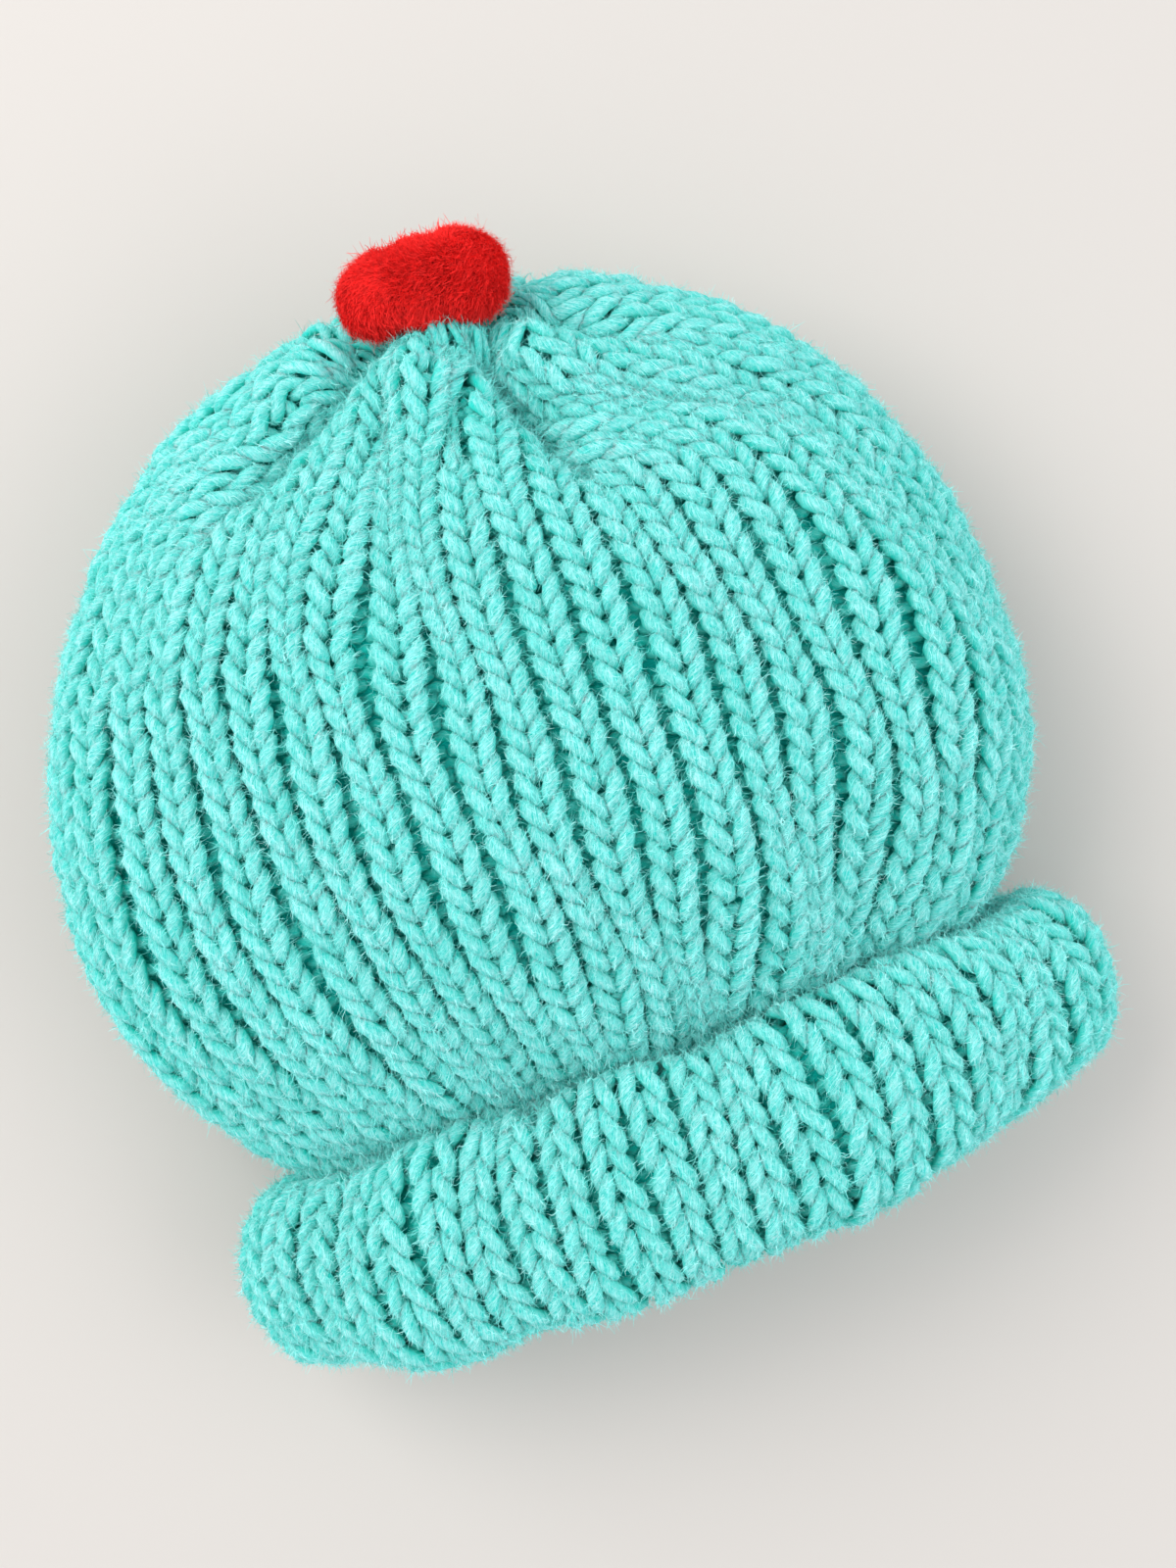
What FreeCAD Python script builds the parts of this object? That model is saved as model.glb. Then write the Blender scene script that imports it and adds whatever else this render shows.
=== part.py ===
"""A knitted ribbed beanie with a rolled brim and a sewn-on pompom, lying flat on its back.

Frame: +Z up, the floor at Z = 0, +Y from the brim towards the gathered top, +X across.
The crown is a hollow dome of thick rib fabric. Its top edge is gathered on a yarn ring,
its lower edge is a neck whose fabric folds out and up into a thick rolled brim.
All sizes are in millimetres and live in the spreadsheet "Dims".
"""

import FreeCAD, Part

import os
from math import cos, radians, sin

V = FreeCAD.Vector

DIMENSIONS = {
    # fabric
    "fabric": 6,  # thickness of the rib fabric
    "gap": 0.15,  # clearance between plies that lie on each other
    # crown
    "crown_half_width": 90,
    "crown_half_height": 37,
    "crown_mid_height": 34,  # of the widest section above the floor
    "crown_wide_y": -3,  # where the crown is widest
    "crown_upper_len": 93,  # from there to the top
    "crown_lower_len": 74,  # half-axis of the lower stretch
    "neck_angle": 45,  # where the lower stretch meets the neck
    # neck, the straight stretch that the brim is rolled round
    "neck_half_height": 17,
    "neck_mid_height": 28,
    "neck_end_y": -90,
    # rolled brim
    "roll_mid_y": -75,
    "roll_half_len": 19.5,
    "roll_half_thick_x": 11,
    "roll_half_thick_z": 8,
    "roll_core_half_width": 74,
    "roll_core_half_height": 24,
    "roll_shift": 3.4,  # of the whole roll towards +X
    "tuck_half_width": 73,
    "tuck_half_height": 21.6,
    "tuck_fabric": 3.2,
    "tuck_len": 19,
    "cast_on_radius": 1.5,
    # gathered top
    "gather_x": 6.3,
    "gather_y": 76.3,
    "gather_z": 47.9,
    "tie_tilt": 50,  # of the gather's axis above the floor
    "dimple_radius": 34,
    "gather_hole_radius": 3.4,
    "gather_ring_radius": 4.7,
    "gather_yarn_radius": 1.1,
    "gather_knot_radius": 2.1,
    "gather_knot_angle": 13,
    # pompom
    "pompom_lift": 12.6,  # of its centre above the gathered top
    "lobe_radius": 10,
    "lobe_spacing": 11,
    "waist_radius": 6.2,
    "binding_radius": 0.8,
    "thread_radius": 0.45,
    "thread_spread": 1.5,  # of each leg of the tie from its axis
    "slot_play": 0.8,
    "tie_knot_radius": 3.8,
    "tie_knot_depth": 10.6,
    # seam
    "seam_yarn_radius": 0.9,
    "seam_stitch_len": 7,
}

LOWER_ANGLES = (-38, -30, -20, -10)
UPPER_ANGLES = (0, 12, 25, 38, 51, 64, 76, 86)
ROLL_ANGLES = (-90, -60, -30, 0, 30, 60, 90)
SEAM_PITCH = 4.5
ROOM = 400  # a size larger than the hat, for cutting tools

doc = FreeCAD.newDocument("beanie")
sheet = doc.addObject("Spreadsheet::Sheet", "Dims")
for row, (alias, value) in enumerate(DIMENSIONS.items(), start=1):
    sheet.set(f"A{row}", alias)
    sheet.set(f"B{row}", str(value))
    sheet.setAlias(f"B{row}", alias)
doc.recompute()


def dim(alias):
    """A driving dimension's value, read back from the sheet."""
    return float(sheet.get(alias))


def bind(obj, **expressions):
    """Binds an object's properties to the sheet; x, y and z are its position."""
    places = {"x": "Placement.Base.x", "y": "Placement.Base.y", "z": "Placement.Base.z"}
    for name, expression in expressions.items():
        obj.setExpression(places.get(name, name), expression)
    return obj


def add(kind, name, **expressions):
    return bind(doc.addObject(kind, name), **expressions)


def cut(name, base, tool):
    made = doc.addObject("Part::Cut", name)
    made.Base, made.Tool = base, tool
    return made


def common(name, base, tool):
    made = doc.addObject("Part::Common", name)
    made.Base, made.Tool = base, tool
    return made


def fuse(name, *shapes):
    made = doc.addObject("Part::MultiFuse", name)
    made.Shapes = list(shapes)
    return made


# Directions of the gathered top: up along the tie, and square to it in the YZ plane.
TILT = radians(dim("tie_tilt"))
ALONG_TIE = V(0, cos(TILT), sin(TILT))
ACROSS_TIE = V(0, -sin(TILT), cos(TILT))
# A rotation whose local Z is the tie's direction, local X stays +X.
TIE_ROTATION = FreeCAD.Rotation(V(1, 0, 0), ACROSS_TIE.negative(), ALONG_TIE)
SECTION_ROTATION = FreeCAD.Rotation(V(1, 0, 0), 90)  # a section's plane faces -Y


def along_tie(distance):
    """Expressions for a point on the tie's axis, that far above the gathered top."""
    return {
        "x": "Dims.gather_x",
        "y": f"Dims.gather_y + ({distance}) * cos(Dims.tie_tilt * 1 deg)",
        "z": f"Dims.gather_z + ({distance}) * sin(Dims.tie_tilt * 1 deg)",
    }


def on_tie(obj, distance):
    """Places an object on the tie's axis, its own Z along the tie."""
    obj.Placement.Rotation = TIE_ROTATION
    return bind(obj, **along_tie(distance))


def section(name, half_width, half_height, y, z, x="0"):
    """An elliptical section across the hat, at height z and at y along it."""
    ellipse = doc.addObject("Part::Ellipse", name)
    ellipse.Placement.Rotation = SECTION_ROTATION
    return bind(ellipse, MajorRadius=half_width, MinorRadius=half_height, x=x, y=y, z=z)


def loft(name, sections):
    made = doc.addObject("Part::Loft", name)
    made.Sections = sections
    made.Solid = True
    made.Ruled = False
    return made


def tube_tool(name, half_width, half_height, start_y, end_y, x="0"):
    """A straight elliptical bar along the hat, for cutting or for a ply."""
    ends = [
        section(f"{name}_{i}", half_width, half_height, y, "Dims.neck_mid_height", x)
        for i, y in enumerate((start_y, end_y))
    ]
    return loft(name, ends)


def above_floor(name, base, height):
    """What is left of a solid above a level, as the floor presses it flat."""
    block = add("Part::Box", f"{name}_room")
    block.Length = block.Width = block.Height = ROOM
    bind(block, x=f"-{ROOM} / 2 mm", y=f"-{ROOM} / 2 mm", z=height)
    return common(name, base, block)


# ---------------------------------------------------------------- crown
def crown_loft(name, inset, end_extra):
    """The crown's outer skin, or with an inset its inner one, with the neck."""
    narrow = "cos(Dims.neck_angle * 1 deg)"
    join_y = "Dims.crown_wide_y - Dims.crown_lower_len * sin(Dims.neck_angle * 1 deg)"
    neck_size = (
        f"Dims.crown_half_width * {narrow} - {inset}",
        f"Dims.neck_half_height - {inset}",
    )
    neck = tube_tool(f"{name}_neck", *neck_size, f"Dims.neck_end_y - {end_extra}", join_y)
    made = [section(f"{name}_join", *neck_size, join_y, "Dims.neck_mid_height")]
    for angle in LOWER_ANGLES:
        share = f"(cos({angle} deg) - {narrow}) / (1 - {narrow})"
        made.append(
            section(
                f"{name}_lower_{-angle}",
                f"Dims.crown_half_width * cos({angle} deg) - {inset}",
                f"Dims.neck_half_height + {share}"
                f" * (Dims.crown_half_height - Dims.neck_half_height) - {inset}",
                f"Dims.crown_wide_y + Dims.crown_lower_len * sin({angle} deg)",
                f"Dims.neck_mid_height + {share}"
                " * (Dims.crown_mid_height - Dims.neck_mid_height)",
            )
        )
    for angle in UPPER_ANGLES:
        made.append(
            section(
                f"{name}_upper_{angle}",
                f"(Dims.crown_half_width - {inset}) * cos({angle} deg)",
                f"(Dims.crown_half_height - {inset}) * cos({angle} deg)",
                "Dims.crown_wide_y"
                f" + (Dims.crown_upper_len - {inset}) * sin({angle} deg)",
                "Dims.crown_mid_height",
            )
        )
    return fuse(name, loft(f"{name}_dome", made), neck)


def dimple(name, wall):
    """The ball that presses the gathered top in, larger by the wall it leaves."""
    ball = add("Part::Sphere", name, Radius=f"Dims.dimple_radius + {wall}")
    return bind(ball, **along_tie("Dims.dimple_radius"))


outer = cut(
    "crown_outside",
    above_floor("crown_on_floor", crown_loft("crown_outer", "0", "0"), "0"),
    dimple("dimple", "0"),
)
inner = cut(
    "crown_inside",
    above_floor(
        "crown_hollow_flat", crown_loft("crown_inner", "Dims.fabric", "5"), "Dims.fabric"
    ),
    dimple("dimple_inside", "Dims.fabric"),
)
gather_hole = add("Part::Cylinder", "gather_hole", Radius="Dims.gather_hole_radius")
gather_hole.Height = 20
on_tie(gather_hole, "-10")
gather_channel = add(
    "Part::Torus",
    "gather_channel",
    Radius1="Dims.gather_ring_radius",
    Radius2="Dims.gather_yarn_radius + 0.05",
)
on_tie(gather_channel, "-Dims.fabric / 2")
crown = cut(
    "crown_fabric",
    cut("crown_shell", outer, inner),
    fuse("gather_space", gather_hole, gather_channel),
)

# ---------------------------------------------------------------- gathered top
gather_yarn = add(
    "Part::Torus",
    "gather_yarn",
    Radius1="Dims.gather_ring_radius",
    Radius2="Dims.gather_yarn_radius",
)
on_tie(gather_yarn, "-Dims.fabric / 2")


def knot(name, radius, along, aside):
    """A tied knot: two crossed turns of yarn round a tight middle."""
    turns = []
    middle = doc.addObject("Part::Sphere", f"{name}_middle")
    bind(middle, Radius=f"0.78 * {radius}")
    turns.append(middle)
    for i, lean in enumerate((35, -35)):
        turn = doc.addObject("Part::Torus", f"{name}_turn_{i}")
        bind(turn, Radius1=f"0.62 * {radius}", Radius2=f"0.36 * {radius}")
        turn.Placement.Rotation = TIE_ROTATION.multiply(
            FreeCAD.Rotation(V(0, 1, 0), lean)
        )
        turns.append(turn)
    for turn in turns:
        bind(turn, **along_tie(along))
        turn.setExpression("Placement.Base.x", f"Dims.gather_x + {aside}")
    return fuse(name, *turns)


KNOT_REACH = "(Dims.dimple_radius + Dims.fabric + Dims.gather_knot_radius + 0.1)"
gather_knot = knot(
    "gather_knot",
    "Dims.gather_knot_radius",
    f"Dims.dimple_radius - {KNOT_REACH} * cos(Dims.gather_knot_angle * 1 deg)",
    f"{KNOT_REACH} * sin(Dims.gather_knot_angle * 1 deg)",
)

# ---------------------------------------------------------------- rolled brim
ROLL_X = "Dims.roll_shift"


def roll_loft(name, inset):
    """The rolled brim's outer form, or with an inset the room inside its ply."""
    made = []
    for angle in ROLL_ANGLES:
        made.append(
            section(
                f"{name}_{angle + 90}",
                "Dims.roll_core_half_width"
                f" + (Dims.roll_half_thick_x - {inset}) * cos({angle} deg)",
                "Dims.roll_core_half_height"
                f" + (Dims.roll_half_thick_z - {inset}) * cos({angle} deg)",
                f"Dims.roll_mid_y + (Dims.roll_half_len - {inset}) * sin({angle} deg)",
                "Dims.neck_mid_height",
                ROLL_X,
            )
        )
    return loft(name, made)


NECK_WIDTH = "Dims.crown_half_width * cos(Dims.neck_angle * 1 deg)"
roll_full = above_floor("roll_on_floor", roll_loft("roll_outer", "0"), "0")
roll_room = above_floor("roll_room_flat", roll_loft("roll_inner", "Dims.fabric"), "Dims.fabric")
mouth = tube_tool(
    "mouth",
    f"{NECK_WIDTH} - Dims.fabric",
    "Dims.neck_half_height - Dims.fabric",
    "-130",
    "-40",
)
neck_room = tube_tool(
    "neck_room",
    f"{NECK_WIDTH} + Dims.gap",
    "Dims.neck_half_height + Dims.gap",
    "Dims.neck_end_y - Dims.gap",
    "-40",
)
brim_outer_ply = cut(
    "brim_outer_ply",
    cut("roll_ply", roll_full, roll_room),
    fuse("brim_opening", mouth, neck_room),
)

tuck_start = "Dims.roll_mid_y - Dims.tuck_len / 2"
tuck_end = "Dims.roll_mid_y + Dims.tuck_len / 2"
tuck_outer = tube_tool(
    "tuck_outer",
    "Dims.tuck_half_width",
    "Dims.tuck_half_height",
    tuck_start,
    tuck_end,
    ROLL_X,
)
tuck_inner = tube_tool(
    "tuck_inner",
    "Dims.tuck_half_width - Dims.tuck_fabric",
    "Dims.tuck_half_height - Dims.tuck_fabric",
    f"{tuck_start} - 1",
    f"{tuck_end} + 1",
    ROLL_X,
)
brim_tucked_ply = cut("brim_tucked_ply", tuck_outer, tuck_inner)

# The cast-on edge, a cord laid along the tuck's lower end.
cast_on_y = f"{tuck_start} - Dims.gap - Dims.cast_on_radius"
cast_on_half_width = "Dims.tuck_half_width - Dims.cast_on_radius"
cast_on_path = section(
    "cast_on_path",
    cast_on_half_width,
    "Dims.tuck_half_height - Dims.cast_on_radius",
    cast_on_y,
    "Dims.neck_mid_height",
    ROLL_X,
)
cast_on_round = add(
    "Part::Circle",
    "cast_on_round",
    Radius="Dims.cast_on_radius",
    x=f"{ROLL_X} + {cast_on_half_width}",
    y=cast_on_y,
    z="Dims.neck_mid_height",
)
cast_on_edge = doc.addObject("Part::Sweep", "cast_on_edge")
cast_on_edge.Sections = [cast_on_round]
cast_on_edge.Spine = (cast_on_path, ["Edge1"])
cast_on_edge.Solid = True
cast_on_edge.Frenet = True

# ---------------------------------------------------------------- pompom
def lobe(name, side):
    """One of the two bunches of pile either side of the waist."""
    ball = on_tie(add("Part::Sphere", name, Radius="Dims.lobe_radius"), "Dims.pompom_lift")
    return bind(ball, x=f"Dims.gather_x + {side} * Dims.lobe_spacing / 2")


def round_waist(name, tube):
    """A ring round the pompom's waist, in the plane between its lobes."""
    ring = on_tie(
        add("Part::Torus", name, Radius1="Dims.waist_radius", Radius2=tube),
        "Dims.pompom_lift",
    )
    ring.Placement.Rotation = FreeCAD.Rotation(V(0, 1, 0), 90)
    return ring


# The pile gives way round the binding, and below it where the tie comes up.
tie_slot = add(
    "Part::Cylinder",
    "tie_slot",
    Radius="Dims.thread_spread + Dims.thread_radius + Dims.slot_play",
    Height="Dims.pompom_lift - Dims.waist_radius"
    " + Dims.thread_spread + Dims.thread_radius + Dims.slot_play",
)
pompom_pile = cut(
    "pompom_pile",
    fuse("pile_solid", lobe("pile_left", -1), lobe("pile_right", 1)),
    fuse(
        "pile_space",
        round_waist("binding_channel", "Dims.binding_radius + Dims.gap"),
        on_tie(tie_slot, "0"),
    ),
)
pompom_binding = round_waist("pompom_binding", "Dims.binding_radius")

# The tie is one thread: up from the knot, round the binding and down again.
tie_thread = doc.addObject("Part::Feature", "tie_thread")
reach = dim("thread_spread")
low = -(dim("tie_knot_depth") - dim("tie_knot_radius"))
high = dim("pompom_lift") - dim("waist_radius")
legs = [V(-reach, 0, low), V(-reach, 0, high), V(reach, 0, high), V(reach, 0, low)]
path = Part.Wire(
    [
        Part.LineSegment(legs[0], legs[1]).toShape(),
        Part.Arc(legs[1], V(0, 0, high + reach), legs[2]).toShape(),
        Part.LineSegment(legs[2], legs[3]).toShape(),
    ]
)
profile = Part.Wire([Part.Circle(legs[0], V(0, 0, 1), dim("thread_radius")).toShape()])
tie_thread.Shape = path.makePipeShell([profile], True, True)
tie_thread.Placement = FreeCAD.Placement(
    V(dim("gather_x"), dim("gather_y"), dim("gather_z")), TIE_ROTATION
)
tie_knot = knot(
    "tie_knot", "Dims.tie_knot_radius", "-Dims.tie_knot_depth - 0.05", "0"
)

# ---------------------------------------------------------------- back seam
doc.recompute()


def inner_bottom(y):
    """Height of the crown's inside above the floor under the middle, at y."""
    probe = Part.makeLine(V(0, y, -1), V(0, y, dim("neck_mid_height")))
    return probe.common(crown.Shape).BoundBox.ZMax


SEAM_START, SEAM_END = -86.0, 62.0
stitches = []
count = int((SEAM_END - SEAM_START) / SEAM_PITCH) + 1
for i in range(count):
    y = SEAM_START + i * SEAM_PITCH
    slope = (inner_bottom(y + 1) - inner_bottom(y - 1)) / 2
    lift = dim("seam_yarn_radius") * (1 + slope**2) ** 0.5 + 0.35
    half = dim("seam_stitch_len") / 2
    start = V(-half, y, inner_bottom(y) + lift)
    bar = Part.makeCylinder(dim("seam_yarn_radius"), 2 * half, start, V(1, 0, 0))
    stitches.append(bar.makeFillet(0.5, bar.Edges[:1] + bar.Edges[2:]))
seam_stitches = doc.addObject("Part::Feature", "seam_stitches")
seam_stitches.Shape = Part.makeCompound(stitches)

# ---------------------------------------------------------------- export
NODES = {
    "crown_fabric": crown,
    "brim_outer_ply": brim_outer_ply,
    "brim_tucked_ply": brim_tucked_ply,
    "cast_on_edge": cast_on_edge,
    "gather_yarn": gather_yarn,
    "gather_knot": gather_knot,
    "seam_stitches": seam_stitches,
    "pompom_pile": pompom_pile,
    "pompom_binding": pompom_binding,
    "tie_thread": tie_thread,
    "tie_knot": tie_knot,
}

doc.recompute()
for obj in doc.Objects:
    if "Invalid" in obj.State or "Error" in obj.State:
        raise RuntimeError(f"{obj.Name} failed: {obj.State}")
bounds = FreeCAD.BoundBox()
for name, obj in NODES.items():
    obj.Label = name
    shape = obj.Shape
    if shape.isNull() or not shape.isValid() or not shape.Solids:
        raise RuntimeError(f"{name} is not a valid solid")
    for point in shape.tessellate(0.2)[0]:
        bounds.add(point)
    print(f"{name}: {len(shape.Solids)} solids, {shape.Volume / 1000:.2f} cm3")
print(
    f"X {bounds.XMin:.2f} to {bounds.XMax:.2f}, Y {bounds.YMin:.2f} to {bounds.YMax:.2f},"
    f" Z {bounds.ZMin:.2f} to {bounds.ZMax:.2f}"
)

os.makedirs("parts", exist_ok=True)
for name, obj in NODES.items():
    obj.Shape.exportStep(f"parts/{name}.step")
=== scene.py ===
"""A baby beanie knitted in thick one-by-one rib, lying half open on its back.

Every stitch is modelled: a guide surface gives the fabric's shape, and each course of
knitting is a yarn that loops from wale to wale along it. Lengths here are in millimetres.
"""

import math

import bpy
import numpy as np
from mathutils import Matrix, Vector


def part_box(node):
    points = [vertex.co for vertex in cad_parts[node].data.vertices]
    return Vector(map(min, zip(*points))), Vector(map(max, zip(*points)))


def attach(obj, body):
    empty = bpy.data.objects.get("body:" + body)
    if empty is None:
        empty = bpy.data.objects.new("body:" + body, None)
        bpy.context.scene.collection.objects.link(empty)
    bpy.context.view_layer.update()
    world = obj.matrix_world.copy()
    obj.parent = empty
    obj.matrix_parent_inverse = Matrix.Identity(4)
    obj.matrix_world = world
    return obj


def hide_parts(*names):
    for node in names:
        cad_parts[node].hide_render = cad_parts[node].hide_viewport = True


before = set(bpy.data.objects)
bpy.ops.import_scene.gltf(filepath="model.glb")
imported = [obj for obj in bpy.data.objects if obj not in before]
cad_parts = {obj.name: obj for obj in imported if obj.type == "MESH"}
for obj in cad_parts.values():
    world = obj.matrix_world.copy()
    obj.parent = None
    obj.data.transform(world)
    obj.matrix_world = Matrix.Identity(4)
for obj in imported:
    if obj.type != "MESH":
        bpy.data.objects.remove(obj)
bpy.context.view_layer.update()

MM = 0.001
rng = np.random.default_rng(7)


def node_box(node):
    """A CAD node's lowest and highest corners, in millimetres."""
    return (np.array(corner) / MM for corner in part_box(node))


# ---------------------------------------------------------------- dimensions
RIBS = 44
COURSE = 4.8  # height of a course of stitches
YARN_R = 1.32
KNIT_W = 5.4  # width of a column of knit stitches
DEPTH = 0.85  # of a loop's crossing, each way
RIB_RISE = 1.95  # of the knit wales above the purl wales, each way
SKIN = 3.7  # from the outer surface to the middle of the fabric
FLOOR_CLEARANCE = 4.1  # of the middle of the fabric
FLOOR_ROUNDING = 2.0  # how softly the fabric turns up from the floor

_, crown_high = node_box("crown_fabric")
roll_low, roll_high = node_box("brim_outer_ply")

HALF_W = crown_high[0]
HALF_H = 37.0
MID_Z = 34.0
WIDE_Y = -3.0  # where the crown is widest
TOP_ALLOWANCE = 0.2  # how far the outer surface may pass the top of the CAD crown
UPPER_LEN = crown_high[1] - WIDE_Y + TOP_ALLOWANCE
LOWER_LEN = 74.0
NECK_A = math.radians(45)  # the crown's lower part is an ellipse, cut off here by the neck
NECK_HALF_W = HALF_W * math.cos(NECK_A)
NECK_HALF_H = 17.0
NECK_Z = 28.0
ROLL_HALF_W = (roll_high[0] - roll_low[0]) / 2
ROLL_HALF_H = 32.0
ROLL_SHIFT = (roll_high[0] + roll_low[0]) / 2
ROLL_Y = (roll_high[1] + roll_low[1]) / 2
ROLL_LEN = (roll_high[1] - roll_low[1]) / 2

GATHER = np.array([6.3, 76.3, 47.9])  # where the thread goes through the gathered top
TIE_TILT = math.radians(50)
TIE_AXIS = np.array([0, math.cos(TIE_TILT), math.sin(TIE_TILT)])
TIE_SIDE = np.array([0, -math.sin(TIE_TILT), math.cos(TIE_TILT)])


# ---------------------------------------------------------------- guide surface
def unit(v):
    return v / np.maximum(np.linalg.norm(v, axis=-1, keepdims=True), 1e-9)


def smooth(x, low, high):
    """0 up to low and 1 from high on, with an even turn between them."""
    f = np.clip((x - low) / (high - low), 0, 1)
    return f * f * (3 - 2 * f)


AROUND = RIBS * 32
phi = np.linspace(-math.pi / 2, 1.5 * math.pi, AROUND, endpoint=False)
# The gathered top's place on the crown, as fractions of its half-width and half-height.
POLE = np.array([GATHER[0] / HALF_W, 0.44])
UPPER_A, UPPER_L, UPPER_H = HALF_W - SKIN, UPPER_LEN - SKIN, HALF_H - SKIN


def dome(flat):
    """A point of the crown's upper part from its place in the unit disc."""
    rise = np.sqrt(np.clip(1 - (flat**2).sum(-1), 0, 1))
    return np.stack(
        [UPPER_A * flat[..., 0], WIDE_Y + UPPER_L * rise, MID_Z + UPPER_H * flat[..., 1]],
        -1,
    )


# The fabric is drawn in at the gather, and swells a little beyond it: size, place, reach.
DIP = (5.2, 0.0, 6.0)
SWELL = (0.8, 24.0, 9.0)
# Round the gather, 0 degrees points to +X and 90 towards the brim.
# Folds run out from it: direction, depth, width, and where they start and end.
FOLD_RUN_IN = 8.0  # from a fold's start to its full depth
FOLD_FADE = 0.45  # share of its length after which it fades
FOLDS = (
    (157, 15.0, 3.2, 1, 64),
    (63, 18.0, 4.2, 7, 48),
    (97, 3.0, 2.0, 3, 34),
    (126, 3.0, 2.0, 3, 36),
    (18, 9.0, 3.0, 1, 44),
    (-30, 10.0, 3.2, 1, 44),
    (-90, 10.0, 3.2, 1, 44),
    (-140, 10.0, 3.2, 1, 44),
    (194, 9.0, 3.0, 1, 44),
)
# Lumps stand up between them: direction, half-angle, height, distance, length.
LUMPS = (
    (111, 48, 11.0, 8, 11),
    (175, 20, 5.0, 12, 16),
    (214, 22, 3.0, 12, 12),
    (43, 25, 6.5, 10, 14),
)
# Pits where the folds meet: direction, distance, radius and depth.
PITS = ((164, 16, 3.6, 5.0),)
POLE_POINT = dome(POLE)


def bell(distance, size, place, reach):
    """A rounded rise of that size at a place, that far wide."""
    return size * np.exp(-(((distance - place) / reach) ** 2))


def upper_ring(r):
    """A ring of points round the gather."""
    flat = r * np.stack([np.cos(phi), np.sin(phi)], -1) + POLE * (1 - r * r) ** 2
    p = dome(flat)
    out = unit((p - [0, WIDE_Y, MID_Z]) / [UPPER_A**2, UPPER_L**2, UPPER_H**2])
    away = p - POLE_POINT
    across, up = away[:, 0], away @ TIE_SIDE
    rho = np.linalg.norm(away, axis=-1)
    heading = np.degrees(np.arctan2(up, across))
    lift = bell(rho, *SWELL) - bell(rho, *DIP)
    for degrees, half_angle, height, distance, length in LUMPS:
        off = np.abs((heading - degrees + 180) % 360 - 180) / half_angle
        beyond = np.maximum(rho - distance, 0) / length
        lift += height * smooth(rho, 0, distance) * np.exp(-(off**4) - beyond**2)
    for degrees, distance, pit_radius, depth in PITS:
        a = math.radians(degrees)
        off = np.hypot(across - distance * math.cos(a), up - distance * math.sin(a))
        lift -= bell(off, depth, 0, pit_radius)
    for degrees, depth, width, start, end in FOLDS:
        a = math.radians(degrees)
        along = across * math.cos(a) + up * math.sin(a)
        beside = -across * math.sin(a) + up * math.cos(a)
        beside = np.where(along > 0, beside, rho)
        reach = smooth(rho, start, start + FOLD_RUN_IN) * (1 - smooth(rho, FOLD_FADE * end, end))
        lift -= bell(beside, depth * reach, 0, width)
    return p + out * lift[:, None]


def section(half_w, half_h, y, mid_z, shift=0.0):
    """An upright elliptical ring at y."""
    return np.stack(
        [shift + half_w * np.cos(phi), np.full_like(phi, y), mid_z + half_h * np.sin(phi)],
        -1,
    )


def lower_ring(a):
    """A ring of the crown's lower part, which narrows to the neck."""
    share = (math.cos(a) - math.cos(NECK_A)) / (1 - math.cos(NECK_A))
    half_h = NECK_HALF_H + share * (HALF_H - NECK_HALF_H)
    mid_z = NECK_Z + share * (MID_Z - NECK_Z)
    return section(
        HALF_W * math.cos(a) - SKIN, half_h - SKIN, WIDE_Y - LOWER_LEN * math.sin(a), mid_z
    )


def through(points, count):
    """A Catmull-Rom curve through points, sampled evenly by its length."""
    per_span = 24  # samples from one point to the next, before they are evened out
    points = np.array(points, float)
    padded = np.vstack([2 * points[0] - points[1], points, 2 * points[-1] - points[-2]])
    fine = []
    for p0, p1, p2, p3 in zip(padded, padded[1:], padded[2:], padded[3:]):
        f = np.linspace(0, 1, per_span, endpoint=False)[:, None]
        fine.append(
            p1
            + 0.5 * f * (p2 - p0)
            + f**2 * (p0 - 2.5 * p1 + 2 * p2 - 0.5 * p3)
            + f**3 * (-0.5 * p0 + 1.5 * p1 - 1.5 * p2 + 0.5 * p3)
        )
    fine = np.vstack([*fine, points[-1:]])
    length = np.concatenate([[0], np.cumsum(np.linalg.norm(np.diff(fine, axis=0), axis=1))])
    at = np.linspace(0, length[-1], count)
    return np.stack([np.interp(at, length, fine[:, i]) for i in range(fine.shape[1])], -1)


# The fabric's way from the neck round the brim: half-width, half-height and y of its middle.
neck_w, neck_h = NECK_HALF_W - 2.6, NECK_HALF_H - 2.6
ply_w, ply_h = ROLL_HALF_W - SKIN, ROLL_HALF_H - SKIN
ROLL_PATH = through(
    [
        (neck_w, neck_h, ROLL_Y + 19),
        (neck_w, neck_h, ROLL_Y),
        (neck_w + 0.4, neck_h + 0.2, ROLL_Y - 9),
        (neck_w + 3.5, neck_h + 2, ROLL_Y - 13.8),
        ((neck_w + ply_w) / 2, (neck_h + ply_h) / 2, ROLL_Y - ROLL_LEN + SKIN),
        (ply_w - 3.0, ply_h - 2, ROLL_Y - 12.5),
        (ply_w, ply_h, ROLL_Y),
        (ply_w - 2.6, ply_h - 1.8, ROLL_Y + 12),
        (ply_w - 9, ply_h - 6, ROLL_Y + 16.4),
        (ply_w - 13, ply_h - 8, ROLL_Y + 10),
        (ply_w - 13, ply_h - 8, ROLL_Y - 6),
    ],
    150,
)

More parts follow.
